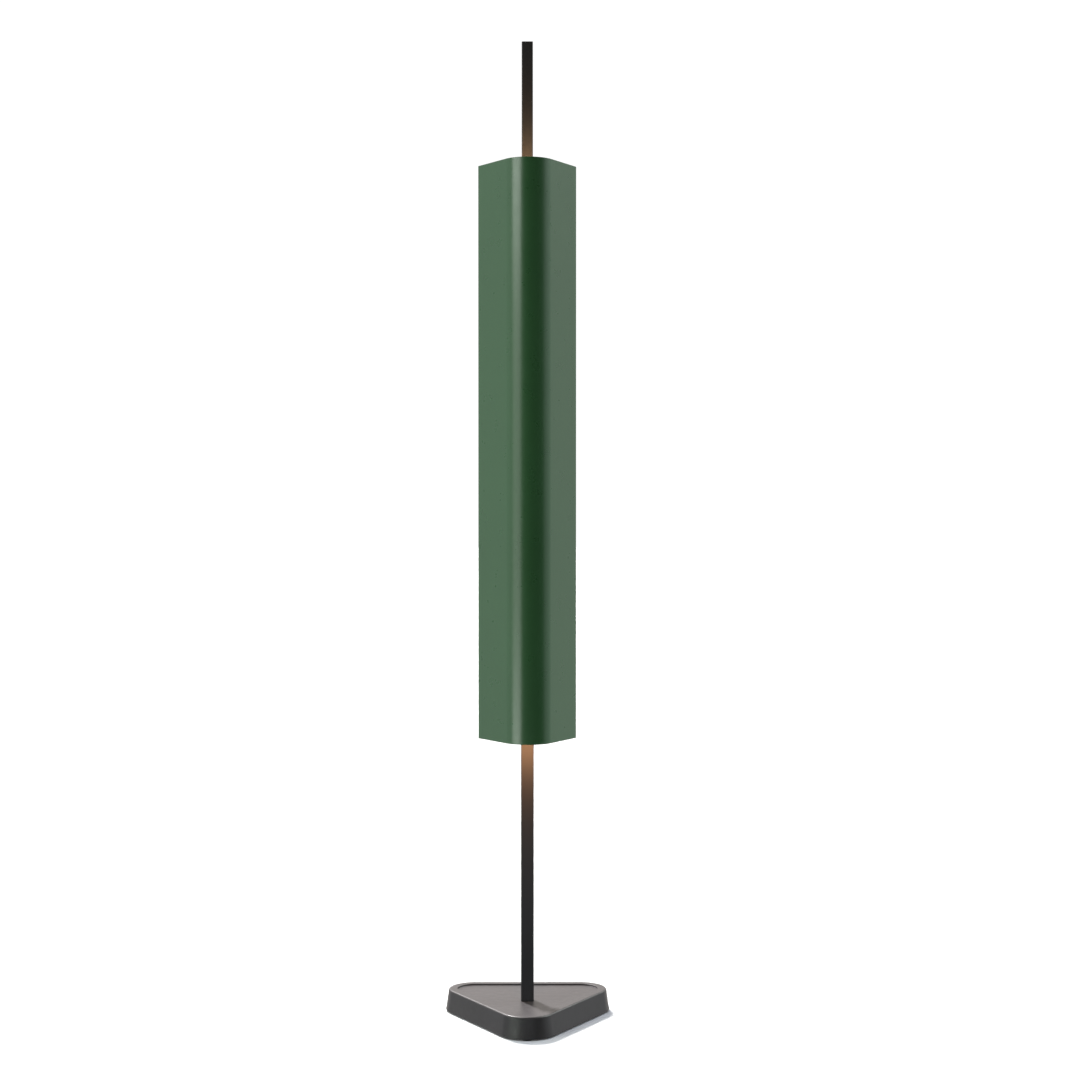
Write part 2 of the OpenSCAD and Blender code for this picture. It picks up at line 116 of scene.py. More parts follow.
def skin(bm, rows, ring=False, cap_first=True):
    """Quads between rows of points, each row a closed outline with the same count, and caps at both ends."""
    verts = [[bm.verts.new(p) for p in row] for row in rows]
    n = len(verts[0])
    pairs = list(zip(verts, verts[1:]))
    if ring:
        pairs.append((verts[-1], verts[0]))
    faces = []
    for low, high in pairs:
        for i in range(n):
            j = (i + 1) % n
            faces.append(bm.faces.new((low[i], low[j], high[j], high[i])))
    if not ring and cap_first:
        faces.append(bm.faces.new(verts[0][::-1]))
    if not ring:
        faces.append(bm.faces.new(verts[-1]))
    return faces


def outline(centres, r, seg):
    """Points round a convex chain of corner centres, counterclockwise, at distance r, seg steps a corner."""
    n = len(centres)
    out = []
    for i in range(n):
        a, c, b = centres[i - 1], centres[i], centres[(i + 1) % n]
        start = math.atan2(-(c[0] - a[0]), c[1] - a[1])
        end = math.atan2(-(b[0] - c[0]), b[1] - c[1])
        while end < start:
            end += 2 * math.pi
        for k in range(seg + 1):
            t = start + (end - start) * k / seg
            out.append((c[0] + r * math.cos(t), c[1] + r * math.sin(t)))
    return out


def rect_outline(size, r, inset=0.0):
    """A rounded rectangle of size (x, y), drawn in by inset, which stays below the corner radius r."""
    x, y = size[0] / 2 - r, size[1] / 2 - r
    corner_steps = 6
    return outline([(-x, -y), (x, -y), (x, y), (-x, y)], r - inset, corner_steps)


def circle_outline(r, n, cx=0.0, cy=0.0):
    angles = [2 * math.pi * k / n for k in range(n)]
    return [(cx + r * math.cos(a), cy + r * math.sin(a)) for a in angles]


def fillet(r, steps):
    """(inset, drop) pairs round a quarter: from the wall (0, r) to the flat (r, 0)."""
    angles = [math.radians(90 * k / steps) for k in range(steps + 1)]
    return [(r - r * math.cos(a), r - r * math.sin(a)) for a in angles]


def at_z(points, z):
    """An outline drawn in (x, y), set at a height."""
    return [Vector((x, y, z)) for x, y in points]


def along_y(points, y):
    """An outline drawn in (x, z), set at a distance along +Y."""
    return [Vector((x, y, z)) for x, z in points]


def turned_y(bm, profile, cx, cz, n):
    """A turned piece about an axis along Y: profile is (radius, y) pairs from one end to the other."""
    skin(bm, [along_y(circle_outline(r, n, cx, cz), y) for r, y in profile])


def turned_z(bm, profile, cx, cy, n):
    """A turned piece about an axis along Z: profile is (radius, z) pairs from one end to the other."""
    skin(bm, [at_z(circle_outline(r, n, cx, cy), z) for r, z in profile])


# ---------------------------------------------------------------- materials


def new_material(name):
    mat = bpy.data.materials.new(name)
    mat.use_nodes = True
    tree = mat.node_tree
    bsdf = next(n for n in tree.nodes if n.type == "BSDF_PRINCIPLED")
    return mat, tree, bsdf


def coords(tree, scale=(1, 1, 1)):
    """The object's own coordinates, stretched along its axes."""
    tex = tree.nodes.new("ShaderNodeTexCoord")
    mapping = tree.nodes.new("ShaderNodeMapping")
    mapping.inputs["Scale"].default_value = scale
    tree.links.new(tex.outputs["Object"], mapping.inputs["Vector"])
    return mapping.outputs["Vector"]


def noise_tex(tree, vector, scale, detail=3.0, rough=0.5):
    n = tree.nodes.new("ShaderNodeTexNoise")
    n.inputs["Scale"].default_value = scale
    n.inputs["Detail"].default_value = detail
    n.inputs["Roughness"].default_value = rough
    tree.links.new(vector, n.inputs["Vector"])
    return n.outputs["Fac"]


def spread(tree, fac, low, high, start=0.3, end=0.7):
    """Stretches start to end, a noise's middle range when they aren't given, over low to high."""
    m = tree.nodes.new("ShaderNodeMapRange")
    m.inputs["From Min"].default_value = start
    m.inputs["From Max"].default_value = end
    m.inputs["To Min"].default_value = low
    m.inputs["To Max"].default_value = high
    tree.links.new(fac, m.inputs["Value"])
    return m.outputs["Result"]


def blend_colors(tree, fac, a, b):
    m = tree.nodes.new("ShaderNodeMix")
    m.data_type = "RGBA"
    m.inputs["A"].default_value = (*a, 1)
    m.inputs["B"].default_value = (*b, 1)
    tree.links.new(fac, m.inputs["Factor"])
    return m.outputs["Result"]


def raised(tree, height, strength, depth, under=None):
    """A bump of this depth, on top of another bump's normal where one is given."""
    b = tree.nodes.new("ShaderNodeBump")
    b.inputs["Strength"].default_value = strength
    b.inputs["Distance"].default_value = depth
    tree.links.new(height, b.inputs["Height"])
    if under:
        tree.links.new(under, b.inputs["Normal"])
    return b.outputs["Normal"]


def finish_surface(name, color, vary, rough, patch, grain, depth, bump,
                   metallic=0.0, stretch=(1, 1, 1), tint=None, fine=None, ior=None):
    """A coated, moulded or machined surface.

    Its colour drifts by vary over patches (towards tint), its roughness mottles over smaller ones, and a
    grain stands depth proud. patch and grain are noise scales per metre; fine is (scale, depth, bump) of
    a second, finer grain on top.
    """
    mat, tree, bsdf = new_material(name)
    vec = coords(tree, stretch)
    wide = noise_tex(tree, vec, patch, 4.0)
    low = tuple(c * (1 - vary) for c in color)
    high = tuple(min(1.0, c * (1 + vary)) for c in (tint or color))
    tree.links.new(blend_colors(tree, spread(tree, wide, 0, 1), low, high), bsdf.inputs["Base Color"])
    mottle = noise_tex(tree, vec, patch * 9, 3.0)
    tree.links.new(spread(tree, mottle, *rough), bsdf.inputs["Roughness"])
    normal = raised(tree, noise_tex(tree, vec, grain, 2.0, 0.6), bump, depth)
    if fine:
        fine_scale, fine_depth, fine_bump = fine
        normal = raised(tree, noise_tex(tree, vec, fine_scale, 3.0, 0.55), fine_bump, fine_depth, normal)
    tree.links.new(normal, bsdf.inputs["Normal"])
    bsdf.inputs["Metallic"].default_value = metallic
    if ior:
        bsdf.inputs["IOR"].default_value = ior
    return mat


def glowing(name, color, strength, base):
    """An opal sheet lit from behind, slightly brighter and darker in waves as far apart as the chips."""
    mat, tree, bsdf = new_material(name)
    vec = coords(tree)
    split = tree.nodes.new("ShaderNodeSeparateXYZ")
    tree.links.new(vec, split.inputs["Vector"])
    wave = tree.nodes.new("ShaderNodeMath")
    wave.operation = "MULTIPLY"
    wave.inputs[1].default_value = 2 * math.pi / CHIP_PITCH
    tree.links.new(split.outputs["Z"], wave.inputs[0])
    cosine = tree.nodes.new("ShaderNodeMath")
    cosine.operation = "COSINE"
    tree.links.new(wave.outputs[0], cosine.inputs[0])
    dimmest = 0.92
    level = spread(tree, cosine.outputs[0], dimmest, 1.0, -1.0, 1.0)
    lit = tree.nodes.new("ShaderNodeMath")
    lit.operation = "MULTIPLY"
    lit.inputs[1].default_value = strength
    tree.links.new(level, lit.inputs[0])
    tree.links.new(lit.outputs[0], bsdf.inputs["Emission Strength"])
    bsdf.inputs["Emission Color"].default_value = (*color, 1)
    cloud = noise_tex(tree, vec, 40.0)
    tree.links.new(blend_colors(tree, cloud, tuple(c * 0.97 for c in base), base), bsdf.inputs["Base Color"])
    tree.links.new(spread(tree, cloud, 0.35, 0.5), bsdf.inputs["Roughness"])
    return mat


SHADE_GREEN = finish_surface(
    "green_satin_coat", (0.045, 0.136, 0.051), vary=0.05, rough=(0.27, 0.31), patch=5.0,
    grain=900.0, depth=0.004 * MM, bump=0.2, fine=(3200.0, 0.003 * MM, 0.2), ior=1.7)
SHADE_WHITE = finish_surface(
    "white_reflector_coat", (0.66, 0.65, 0.62), vary=0.03, rough=(0.5, 0.6), patch=6.0,
    grain=700.0, depth=0.02 * MM, bump=0.2)
BASE_COAT = finish_surface(
    "cast_iron_powder_coat", (0.041, 0.038, 0.040), vary=0.12, rough=(0.39, 0.47), patch=9.0,
    grain=420.0, depth=0.09 * MM, bump=0.4, fine=(1500.0, 0.03 * MM, 0.5))
STEM_BLACK = finish_surface(
    "black_anodised_aluminium", (0.026, 0.0265, 0.031), vary=0.12, rough=(0.36, 0.44), patch=11.0,
    grain=1400.0, depth=0.01 * MM, bump=0.25, stretch=(1, 1, 0.08), fine=(300.0, 0.02 * MM, 0.1))
PART_BLACK = finish_surface(
    "black_cast_parts", (0.014, 0.0135, 0.015), vary=0.15, rough=(0.42, 0.55), patch=30.0,
    grain=1100.0, depth=0.03 * MM, bump=0.4)
PLASTIC_BLACK = finish_surface(
    "black_moulded_plastic", (0.016, 0.016, 0.017), vary=0.1, rough=(0.48, 0.6), patch=40.0,
    grain=1600.0, depth=0.03 * MM, bump=0.45)
PLASTIC_WHITE = finish_surface(
    "white_acetal", (0.76, 0.75, 0.71), vary=0.03, rough=(0.35, 0.45), patch=40.0,
    grain=1500.0, depth=0.012 * MM, bump=0.25)
RUBBER = finish_surface(
    "black_rubber", (0.018, 0.018, 0.018), vary=0.15, rough=(0.75, 0.9), patch=60.0,
    grain=2200.0, depth=0.04 * MM, bump=0.5)
ZINC = finish_surface(
    "zinc_plated_steel", (0.6, 0.6, 0.57), vary=0.08, rough=(0.28, 0.42), patch=60.0,
    grain=2600.0, depth=0.006 * MM, bump=0.3, metallic=1.0, tint=(0.62, 0.61, 0.55))
ALUMINIUM = finish_surface(
    "drawn_aluminium", (0.74, 0.74, 0.75), vary=0.05, rough=(0.3, 0.42), patch=20.0,
    grain=1800.0, depth=0.01 * MM, bump=0.35, metallic=1.0, stretch=(1, 1, 0.02))
COVER_STEEL = finish_surface(
    "painted_cover_steel", (0.03, 0.03, 0.032), vary=0.1, rough=(0.5, 0.62), patch=14.0,
    grain=800.0, depth=0.03 * MM, bump=0.35)
BOARD_WHITE = finish_surface(
    "white_solder_mask", (0.8, 0.8, 0.77), vary=0.02, rough=(0.32, 0.4), patch=30.0,
    grain=900.0, depth=0.01 * MM, bump=0.2)
BOARD_GREEN = finish_surface(
    "green_solder_mask", (0.02, 0.11, 0.05), vary=0.1, rough=(0.3, 0.4), patch=60.0,
    grain=1200.0, depth=0.02 * MM, bump=0.3)
CHIP = finish_surface(
    "yellow_phosphor_chip", (0.85, 0.62, 0.12), vary=0.05, rough=(0.3, 0.4), patch=300.0,
    grain=3000.0, depth=0.01 * MM, bump=0.2)
BUTTON_GREY = finish_surface(
    "grey_button_plastic", (0.05, 0.05, 0.052), vary=0.08, rough=(0.4, 0.5), patch=80.0,
    grain=2000.0, depth=0.015 * MM, bump=0.35)
OPAL = glowing("opal_diffuser_lit", (1.0, 0.56, 0.30), 7.0, (0.93, 0.88, 0.8))

SLOT_MATERIAL = {
    "base_iron": BASE_COAT, "cover_steel": COVER_STEEL, "zinc_steel": ZINC, "pad_rubber": RUBBER,
    "bare_aluminium": ALUMINIUM, "black_aluminium": PART_BLACK, "black_plastic": PLASTIC_BLACK,
    "white_plastic": PLASTIC_WHITE, "lead_rubber": RUBBER, "board_white": BOARD_WHITE,
    "board_green": BOARD_GREEN, "led_chip": CHIP, "opal_diffuser": OPAL, "grey_button": BUTTON_GREY,
    "green_shade": SHADE_GREEN,
}
NODE_SLOT = {row["node"]: row["material_slot"] for row in frame["record"]["subparts"]}


def stand_for(obj, node, *finishes):
    """A finished piece takes the place of a CAD node: it takes these finishes, rides the node's body, and the
    node is hidden.
    """
    for finish in finishes:
        obj.data.materials.append(finish)
    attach(obj, frame["nodes"][node]["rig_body"])
    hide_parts(node)


# every CAD node that stays gets a procedural material
for node_name, node_obj in frame["nodes"].items():
    finish = SLOT_MATERIAL[NODE_SLOT[node_name]]
    if node_name in ("lower_stem", "upper_stem"):
        finish = STEM_BLACK
    if not node_obj.material_slots:
        node_obj.data.materials.append(finish)
    for material_slot in node_obj.material_slots:
        material_slot.material = finish


def soften(node, width):
    """Breaks the machined edges of a CAD node, as a tumbled or coated part has them."""
    obj = frame["nodes"][node]
    weld = obj.modifiers.new("join", "WELD")
    weld.merge_threshold = 0.002 * MM
    flat = obj.modifiers.new("flats", "DECIMATE")
    flat.decimate_type = "DISSOLVE"
    flat.angle_limit = math.radians(0.5)
    bev = obj.modifiers.new("edges", "BEVEL")
    bev.width = width
    bev.segments = 2
    bev.limit_method = "ANGLE"
    bev.angle_limit = math.radians(35)
    bev.use_clamp_overlap = True
    bev.miter_outer = "MITER_ARC"
    normals = obj.modifiers.new("even_normals", "WEIGHTED_NORMAL")
    normals.keep_sharp = True


# ---------------------------------------------------------------- base

CORNERS = [(0.0, -REACH), (SPAN, REACH), (-SPAN, REACH)]
SOCKET_HALF = (11.6 * MM, 7.1 * MM)          # half the socket's width and depth, a free fit round the tube
SOCKET_R = 2 * MM
SOCKET_FLOOR = 24 * MM
COLLAR_OUT = 9 * MM                          # how far round the socket the tray's faces start
FOOT_R = 1.2 * MM                            # roundings of the wall's foot, of the rim's outside and inside,
RIM_R = 3.4 * MM                             # and of the cove where the rim meets the tray
LIP_R = 1.0 * MM
COVE_R = 0.9 * MM
CAVITY_R, CAVITY_ROOF = 26 * MM, 17 * MM     # the hollow underneath, and the step that the cover lies in
COVER_R, COVER_SEAT = 32 * MM, 5.5 * MM
CORNER_STEPS = 30


def ring(r, z):
    """The base's rounded triangle at distance r from its corner centres' triangle."""
    return at_z(outline(CORNERS, r, CORNER_STEPS), z)


def wall_r(z):
    """The drafted wall's distance at a height."""
    return CORNER_R + DRAFT * (BASE_TOP - z) / (BASE_TOP - BASE_FOOT)


def rounded_rect_reach(w, d, r, t):
    """How far a rounded rectangle of half sizes w and d reaches from its middle at a bearing t."""
    cx, cy = math.cos(t), math.sin(t)
    tiny = 1e-9
    s = min(w / max(abs(cx), tiny), d / max(abs(cy), tiny))
    kx, ky = w - r, d - r
    if abs(s * cx) > kx and abs(s * cy) > ky:
        along = math.copysign(kx, cx) * cx + math.copysign(ky, cy) * cy
        off = along * along - (kx * kx + ky * ky - r * r)
        s = along + math.sqrt(max(off, 0.0))
    return s


def socket_row(grow, z):
    """The socket's outline, with its points at the bearings of the tray's."""
    w, d = SOCKET_HALF
    points = []
    for x, y in outline(CORNERS, CORNER_R - RIM_W, CORNER_STEPS):
        t = math.atan2(y, x)
        reach = rounded_rect_reach(w + grow, d + grow, SOCKET_R + grow, t)
        points.append((reach * math.cos(t), reach * math.sin(t)))
    return at_z(points, z)


def base_body():
    """The casting: drafted wall, rolled rim, shallow tray with the stem's socket, and hollow underside."""
    rows = [ring(CAVITY_R, CAVITY_ROOF), ring(CAVITY_R, COVER_SEAT)]
    rows += [ring(COVER_R, COVER_SEAT), ring(COVER_R, BASE_FOOT)]
    for inset, drop in reversed(fillet(FOOT_R, 4)):
        rows.append(ring(wall_r(BASE_FOOT) - inset, BASE_FOOT + drop))
    wall_low, wall_high = BASE_FOOT + FOOT_R, BASE_TOP - RIM_R
    for k in range(1, 4):
        z = wall_low + (wall_high - wall_low) * k / 4
        rows.append(ring(wall_r(z), z))
    for inset, drop in fillet(RIM_R, 8):
        rows.append(ring(wall_r(wall_high) - inset, BASE_TOP - drop))
    inner = CORNER_R - RIM_W
    rows.append(ring((wall_r(wall_high) - RIM_R + inner + LIP_R) / 2, BASE_TOP))
    for inset, drop in reversed(fillet(LIP_R, 4)):
        rows.append(ring(inner + inset, BASE_TOP - drop))
    for inset, drop in fillet(COVE_R, 4):
        rows.append(ring(inner - inset, TRAY_Z + drop))
    rows += [ring(inner * part, TRAY_Z) for part in (0.7, 0.35)]
    bevel_w, bevel_deep = 0.6 * MM, 0.5 * MM
    rows += [socket_row(COLLAR_OUT, TRAY_Z), socket_row(bevel_w, TRAY_Z)]
    rows += [socket_row(0.0, TRAY_Z - bevel_deep), socket_row(0.0, SOCKET_FLOOR)]
    bm = bmesh.new()
    skin(bm, rows)
    return finish_mesh("base_body", bm, 40)


def bored(obj, cutters):
    """Cuts each cutter out of obj and removes it, so that the hole is in the mesh itself."""
    for cutter in cutters:
        hole = obj.modifiers.new("hole", "BOOLEAN")
        hole.operation = "DIFFERENCE"
        hole.solver = "EXACT"
        hole.object = cutter
    bpy.context.view_layer.update()
    others = [m for m in obj.modifiers if m.type != "BOOLEAN"]
    for m in others:
        m.show_viewport = False
    graph = bpy.context.evaluated_depsgraph_get()
    mesh = bpy.data.meshes.new_from_object(obj.evaluated_get(graph))
    for m in list(obj.modifiers):
        if m.type == "BOOLEAN":
            obj.modifiers.remove(m)
    for m in others:
        m.show_viewport = True
    whole = obj.data
    obj.data = mesh
    bpy.data.meshes.remove(whole)
    mesh.set_sharp_from_angle(angle=math.radians(40))
    for cutter in cutters:
        data = cutter.data
        bpy.data.objects.remove(cutter)
        bpy.data.meshes.remove(data)


def cutter_y(r, y0, y1, cz):
    bm = bmesh.new()
    turned_y(bm, [(r, y0), (r, y1)], 0, cz, 40)
    return finish_mesh("cutter", bm)


GLAND_LO, GLAND_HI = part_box("cord_gland")
GLAND_Z = (GLAND_LO.z + GLAND_HI.z) / 2
GLAND_HOLE_R, GLAND_SEAT_R = 4.85 * MM, 7.1 * MM
GLAND_SEAT_DEEP = 2.6 * MM
IN_CAVITY_Y, PAST_WALL_Y = 95 * MM, 140 * MM     # where the gland's bores start and end

body = base_body()
bored(body, [
    cutter_y(GLAND_HOLE_R, IN_CAVITY_Y, PAST_WALL_Y, GLAND_Z),
    cutter_y(GLAND_SEAT_R, GLAND_HI.y - GLAND_SEAT_DEEP, PAST_WALL_Y, GLAND_Z),
])
stand_for(body, "base_casting", BASE_COAT)

# the three pads under it, each a moulded disc whose lower face is a narrow ring with a soft edge
PADS_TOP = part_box("foot_pads")[1].z
PAD_R = 9 * MM
PAD_OUT = CORNER_R - 5.7 * MM                # from a corner's centre to its pad's
PAD_DISH = 0.35 * MM                         # how far the middle is raised off the floor
PAD_TREAD = PAD_R - 1.9 * MM                 # the ring's inner radius
PAD_STEP = 0.3 * MM
PAD_EDGE = 0.8 * MM
pad_profile = [(0.3 * PAD_R, PAD_DISH), (PAD_TREAD - PAD_STEP, PAD_DISH), (PAD_TREAD, 0.0)]
pad_profile += [(PAD_R - inset, drop) for inset, drop in reversed(fillet(PAD_EDGE, 4))]
pad_profile += [(PAD_R, PADS_TOP)]
middle = Vector((0, REACH / 3))
bm = bmesh.new()
for corner in CORNERS:
    away = (Vector(corner) - middle).normalized()
    px, py = Vector(corner) + PAD_OUT * away
    turned_z(bm, pad_profile, px, py, ROUND_POINTS)
stand_for(finish_mesh("foot_pad_discs", bm), "foot_pads", RUBBER)

# the lead's gland: a flanged bush with a rounded mouth; (radius, distance in from the flange's face) in mm
gland_depth = (GLAND_HI.y - GLAND_LO.y) / MM
GLAND_PROFILE = [(3.2, gland_depth), (4.8, gland_depth), (4.8, 2.5), (7.0, 2.5), (7.0, 0.8), (6.8, 0.3),
                 (6.3, 0.0), (4.6, 0.0), (4.0, 0.25), (3.5, 0.8), (3.25, 1.6)]
rows = []
for r, depth in GLAND_PROFILE:
    rows.append(along_y(circle_outline(r * MM, ROUND_POINTS, 0, GLAND_Z), GLAND_HI.y - depth * MM))
bm = bmesh.new()
skin(bm, rows, ring=True)
stand_for(finish_mesh("lead_gland", bm, 50), "cord_gland", PLASTIC_BLACK)

# ---------------------------------------------------------------- shade


def shade_profile():
    """The shade's section once round, and for each point whether it's on the white inside.

    From the middle of the nose's front it runs out along the right wing, round the bead and back along
    the inside to the middle, and then the same mirrored.
    """
    cos_w, sin_w = math.cos(WING), math.sin(WING)
    length = (HALF_W - BEAD - (NOSE_R - BEAD) * sin_w) / cos_w
    nose_steps, flat_steps, bead_steps = 20, 6, 18

    def on_nose(r, k):
        t = WING * k / nose_steps
        return (r * math.sin(t), NOSE_Y - r * math.cos(t))

    def on_wing(r, s):
        """At s along the right wing, and at r square to it from the nose's centre."""
        return (s * cos_w + r * sin_w, NOSE_Y + s * sin_w - r * cos_w)

    right = [on_nose(NOSE_R, k) for k in range(1, nose_steps + 1)]
    right += [on_wing(NOSE_R, length * k / flat_steps) for k in range(1, flat_steps + 1)]
    inside = [False] * len(right)
    bead_arc = math.radians(262)
    coat_ends = 0.42                         # the part of the bead's arc that has the outer coat
    for k in range(1, bead_steps):
        t = bead_arc * k / bead_steps
        right.append(on_wing(NOSE_R - BEAD + BEAD * math.cos(t), length + BEAD * math.sin(t)))
        inside.append(k > coat_ends * bead_steps)
    r_in = NOSE_R - WALL
    length_in = length - 1.12 * BEAD         # the inside's flat runs into the bead
    back = [on_wing(r_in, length_in * k / flat_steps) for k in range(flat_steps, 0, -1)]
    back += [on_nose(r_in, k) for k in range(nose_steps, 0, -1)]
    right += back
    inside += [True] * len(back)
    left = [(-x, y) for x, y in reversed(right)]
    points = [on_nose(NOSE_R, 0)] + right + [on_nose(r_in, 0)] + left
    return points, [False] + inside + [True] + inside[::-1]


def drawn_in(points, d):
    """A counterclockwise section drawn in by d along its own normals."""
    out = []
    for i, (x, y) in enumerate(points):
        ax, ay = points[i - 1]
        bx, by = points[(i + 1) % len(points)]
        tx, ty = bx - ax, by - ay
        size = math.hypot(tx, ty)
        out.append((x - d * ty / size, y + d * tx / size))
    return out


def shade_body():
    """The extrusion, turned to the base, with its two cut ends rounded: slot 0 outside, slot 1 inside."""
    points, inside = shade_profile()
    turn = Matrix.Rotation(TURN, 3, "Z")
    low, high = SHADE_LO.z, SHADE_HI.z
    end_round = fillet(0.45 * MM, 3)
    stretches = 8
    levels = [(inset, low + drop) for inset, drop in reversed(end_round)]
    levels += [(0.0, low + (high - low) * k / stretches) for k in range(1, stretches)]
    levels += [(inset, high - drop) for inset, drop in end_round]
    rows = [[turn @ p for p in at_z(drawn_in(points, inset), z)] for inset, z in levels]
    bm = bmesh.new()
    faces = skin(bm, rows)
    n = len(points)
    for index, face in enumerate(faces[:n * (len(rows) - 1)]):
        i = index % n
        face.material_index = 1 if inside[i] and inside[(i + 1) % n] else 0
    return finish_mesh("shade_shell", bm, 34)


shell = shade_body()
stand_for(shell, "shade", SHADE_GREEN, SHADE_WHITE)

# the three screw ports that run up the inside between the arms, open-sided as an extrusion leaves them
ARM_THICK = 4 * MM
PORT_R, PORT_HOLE_R = 3.8 * MM, 2.05 * MM
PORT_SINK = 0.8 * MM                         # how deep a port's round is set into the wall
PORT_GAP = math.radians(28)                  # half the angle of the open side, which faces the stem
WING_REACH = NOSE_R - NOSE_Y * math.cos(WING)    # from the stem's axis square to a wing's outside


def port_section(t, dist):
    """At bearing t and this distance: round the port's outside, and back round its hole."""
    cx, cy = dist * math.cos(t), dist * math.sin(t)
    steps = 26
    arc = [t + math.pi + PORT_GAP + 2 * (math.pi - PORT_GAP) * k / steps for k in range(steps + 1)]
    section = [(cx + PORT_R * math.cos(a), cy + PORT_R * math.sin(a)) for a in arc]
    section += [(cx + PORT_HOLE_R * math.cos(a), cy + PORT_HOLE_R * math.sin(a)) for a in reversed(arc)]
    return section


ports_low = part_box("bottom_spider")[0].z + ARM_THICK
ports_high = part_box("top_spider")[1].z - ARM_THICK
bm = bmesh.new()
for lean, reach in ((0.0, NOSE_REACH), (WING, WING_REACH), (-WING, WING_REACH)):
    section = port_section(lean - math.pi / 2 + TURN, reach - WALL - PORT_R + PORT_SINK)
    skin(bm, [at_z(section, ports_low), at_z(section, ports_high)])
ports = finish_mesh("shade_screw_ports", bm, 40)
stand_for(ports, "shade", SHADE_WHITE)

# ---------------------------------------------------------------- stem parts

# the stem cap: a plug that fits the bar's bore, and a head with a rolled top edge
CAP_LO, CAP_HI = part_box("stem_cap")
CAP_HEAD, CAP_EDGE = 2 * MM, 0.9 * MM
BAR, BAR_R = (20 * MM, 11 * MM), 1.5 * MM
PLUG, PLUG_R = (16.3 * MM, 7.3 * MM), 0.6 * MM
rows = [at_z(rect_outline(PLUG, PLUG_R), z) for z in (CAP_LO.z, CAP_HI.z - CAP_HEAD)]
rows.append(at_z(rect_outline(BAR, BAR_R), CAP_HI.z - CAP_HEAD))
for inset, drop in fillet(CAP_EDGE, 5):
    rows.append(at_z(rect_outline(BAR, BAR_R, inset), CAP_HI.z - drop))
bm = bmesh.new()
skin(bm, rows)
stand_for(finish_mesh("stem_cap_plug", bm, 40), "stem_cap", PLASTIC_BLACK)

# the height knob: fluted, with rolled edges and a dished face
KNOB_LO, KNOB_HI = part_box("clamp_knob")
KNOB_Z = (KNOB_LO.z + KNOB_HI.z) / 2
KNOB_R = 12 * MM
KNOB_BACK_EDGE, KNOB_FACE_EDGE = 1.0 * MM, 1.4 * MM
KNOB_POINTS = 192
FLUTES, FLUTE_R = 8, 3 * MM
FLUTE_OUT = 13.6 * MM                        # from the knob's axis to a flute's


def knob_outline(inset):
    """The knob's outline drawn in by inset, with soft crests between the flutes."""
    soft = 0.5 * MM
    pitch = 2 * math.pi / FLUTES
    points = []
    for k in range(KNOB_POINTS):
        a = 2 * math.pi * k / KNOB_POINTS
        r = KNOB_R - inset
        off_flute = (a + pitch / 2) % pitch - pitch / 2
        grow = FLUTE_R + inset
        side = FLUTE_OUT * math.sin(off_flute)
        if abs(side) < grow:
            cut = FLUTE_OUT * math.cos(off_flute) - math.sqrt(grow * grow - side * side)
            h = max(0.0, min(1.0, 0.5 + 0.5 * (cut - r) / soft))
            r = cut * (1 - h) + r * h - soft * h * (1 - h)
        points.append((r * math.cos(a), KNOB_Z + r * math.sin(a)))
    return points


rows = []
for inset, drop in reversed(fillet(KNOB_BACK_EDGE, 4)):
    rows.append(along_y(knob_outline(inset), KNOB_LO.y + drop))
for inset, drop in fillet(KNOB_FACE_EDGE, 5):
    rows.append(along_y(knob_outline(inset), KNOB_HI.y - drop))
DISH = [(8.4, 0.0), (8.0, 0.12), (7.6, 0.5), (4.0, 0.62), (1.0, 0.66)]       # (radius, depth) in mm
for r, depth in DISH:
    rows.append(along_y(circle_outline(r * MM, KNOB_POINTS, 0, KNOB_Z), KNOB_HI.y - depth * MM))
bm = bmesh.new()
skin(bm, rows)
stand_for(finish_mesh("height_knob", bm, 36), "clamp_knob", PART_BLACK)

# the push button: a flange that stays in the case, and a domed face
BUTTON_LO, BUTTON_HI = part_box("dimmer_button")
BUTTON_Z = (BUTTON_LO.z + BUTTON_HI.z) / 2
BUTTON_R = 5 * MM
FLANGE_R, FLANGE_THICK = 6 * MM, 2 * MM
BACK_R = 0.6 * MM                            # the innermost ring of the flat back
DOME = [(5.0, 0.9), (4.9, 0.6), (4.6, 0.4), (3.6, 0.18), (2.2, 0.05), (0.7, 0.0)]    # (radius, depth) in mm
flange_y = BUTTON_LO.y + FLANGE_THICK
profile = [(BACK_R, BUTTON_LO.y), (FLANGE_R, BUTTON_LO.y), (FLANGE_R, flange_y), (BUTTON_R, flange_y)]
profile += [(r * MM, BUTTON_HI.y - depth * MM) for r, depth in DOME]
bm = bmesh.new()
turned_y(bm, profile, 0, BUTTON_Z, ROUND_POINTS)
stand_for(finish_mesh("dimmer_push", bm, 45), "dimmer_button", BUTTON_GREY)

# ---------------------------------------------------------------- coils


def coil(name, axis, radius, wire, start, length, turns):
    """A round wire wound as a helix along +Y or +Z ('y' or 'z') from start; radius is the coil's outside."""
    per_turn, sides = 18, 7
    total = turns * per_turn
    run = length - 2 * wire
    rise = run / (turns * 2 * math.pi)
    mean = radius - wire
    rows = []
    for k in range(total + 1):
        a = 2 * math.pi * k / per_turn
        out = Vector((math.cos(a), math.sin(a), 0))
        tangent = Vector((-math.sin(a) * mean, math.cos(a) * mean, rise)).normalized()
        side = tangent.cross(out)
        centre = out * mean + Vector((0, 0, wire + run * k / total))
        row = []
        for i in range(sides):
            b = 2 * math.pi * i / sides
            x, y, z = centre + out * (wire * math.cos(b)) + side * (wire * math.sin(b))
            if axis == "y":
                y, z = z, y
            row.append(Vector((x + start[0], y + start[1], z + start[2])))
        rows.append(row)
    bm = bmesh.new()
    skin(bm, rows)
    return finish_mesh(name, bm, 80)
